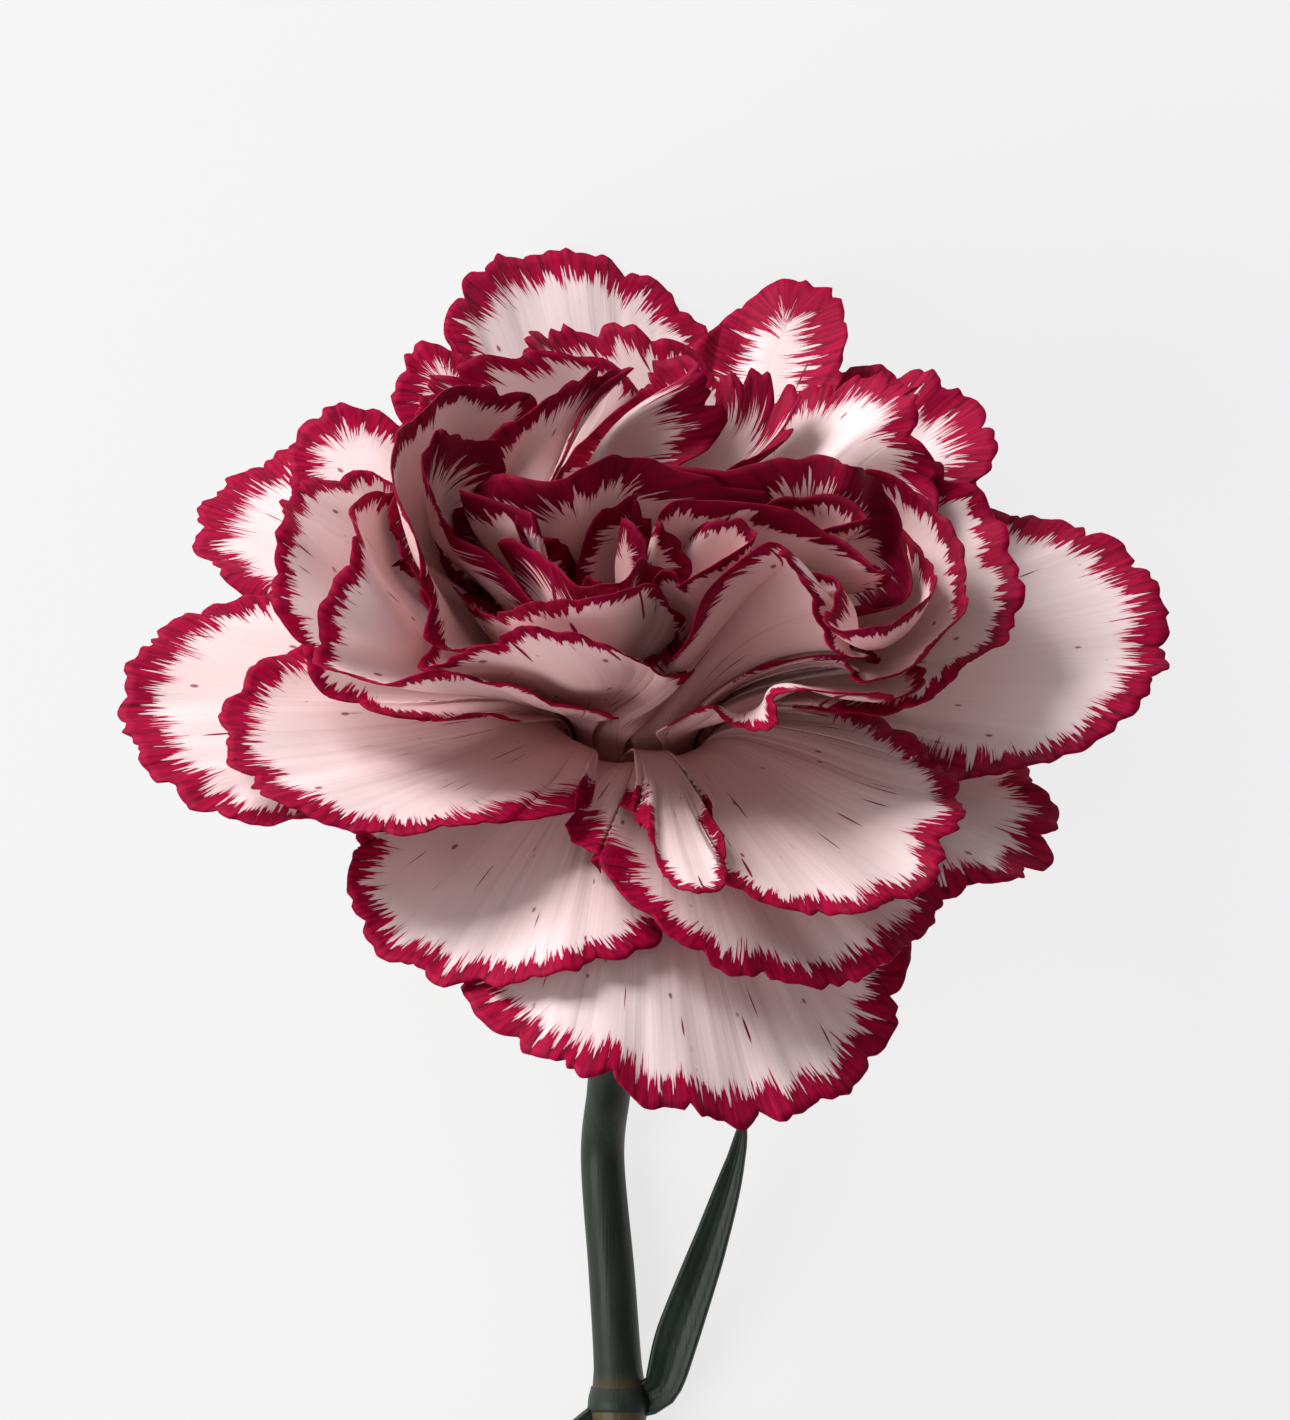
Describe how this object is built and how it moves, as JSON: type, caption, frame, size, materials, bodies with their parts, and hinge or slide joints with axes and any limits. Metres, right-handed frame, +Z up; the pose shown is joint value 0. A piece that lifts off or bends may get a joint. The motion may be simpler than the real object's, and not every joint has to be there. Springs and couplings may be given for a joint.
{
  "type": "cut carnation",
  "caption": "Cut carnation lying on a table: double white flower with crimson-edged ruffled petals, calyx, jointed stem and narrow leaves.",
  "frame": {"origin": "middle of the footprint, on the surface the flower lies on", "axes": "+Y along the stem towards the bloom, +Z up, +X to the right when looking down with the bloom at the top"},
  "size_m": [0.0778, 0.19, 0.0584],
  "materials": {
    "petal": "matt, white with a crimson edge",
    "sepal": "matt green with a thin waxy bloom",
    "pistil": "matt cream",
    "stalk": "satin dark green, waxy",
    "blade": "satin grey-green, waxy"
  },
  "bodies": {
    "root": {"petal_guard_bottom": "petal", "petal_guard_lower_left": "petal", "petal_guard_right_low": "petal", "petal_guard_lower_right": "petal", "petal_guard_upper_left": "petal", "petal_guard_left": "petal", "petal_guard_right": "petal", "petal_guard_front_right": "petal", "petal_guard_inner_left": "petal", "petal_guard_small_left": "petal", "petal_guard_back_right": "petal", "petal_guard_back": "petal", "petal_guard_back_left": "petal", "petal_guard_far_right": "petal", "petal_side_right": "petal", "petal_side_left": "petal", "petal_side_front": "petal", "petal_side_back_right": "petal", "petal_side_front_right": "petal", "petal_side_back": "petal", "petal_collar_left": "petal", "petal_collar_back_right": "petal", "petal_collar_right": "petal", "petal_collar_back_left": "petal", "petal_collar_front_left": "petal", "petal_collar_front": "petal", "petal_ruffle_back": "petal", "petal_ruffle_left": "petal", "petal_ruffle_right": "petal", "petal_ruffle_front_left": "petal", "petal_ruffle_back_left": "petal", "petal_ruffle_front": "petal", "petal_heart_back_right": "petal", "petal_heart_left": "petal", "petal_heart_front_right": "petal", "petal_heart_back": "petal", "petal_heart_front_left": "petal", "petal_heart_right": "petal", "petal_eye_left": "petal", "petal_eye_front": "petal", "petal_eye_back": "petal", "petal_eye_core": "petal", "calyx": "sepal", "bract_1": "sepal", "bract_2": "sepal", "bract_3": "sepal", "bract_4": "sepal", "receptacle": "sepal", "ovary": "sepal", "style_left": "pistil", "style_right": "pistil", "stamen_1": "pistil", "stamen_2": "pistil", "stamen_3": "pistil", "stem": "stalk", "leaf_upper_right": "blade", "leaf_upper_left": "blade", "leaf_lower_right": "blade", "leaf_lower_left": "blade"}
  },
  "joints": []
}
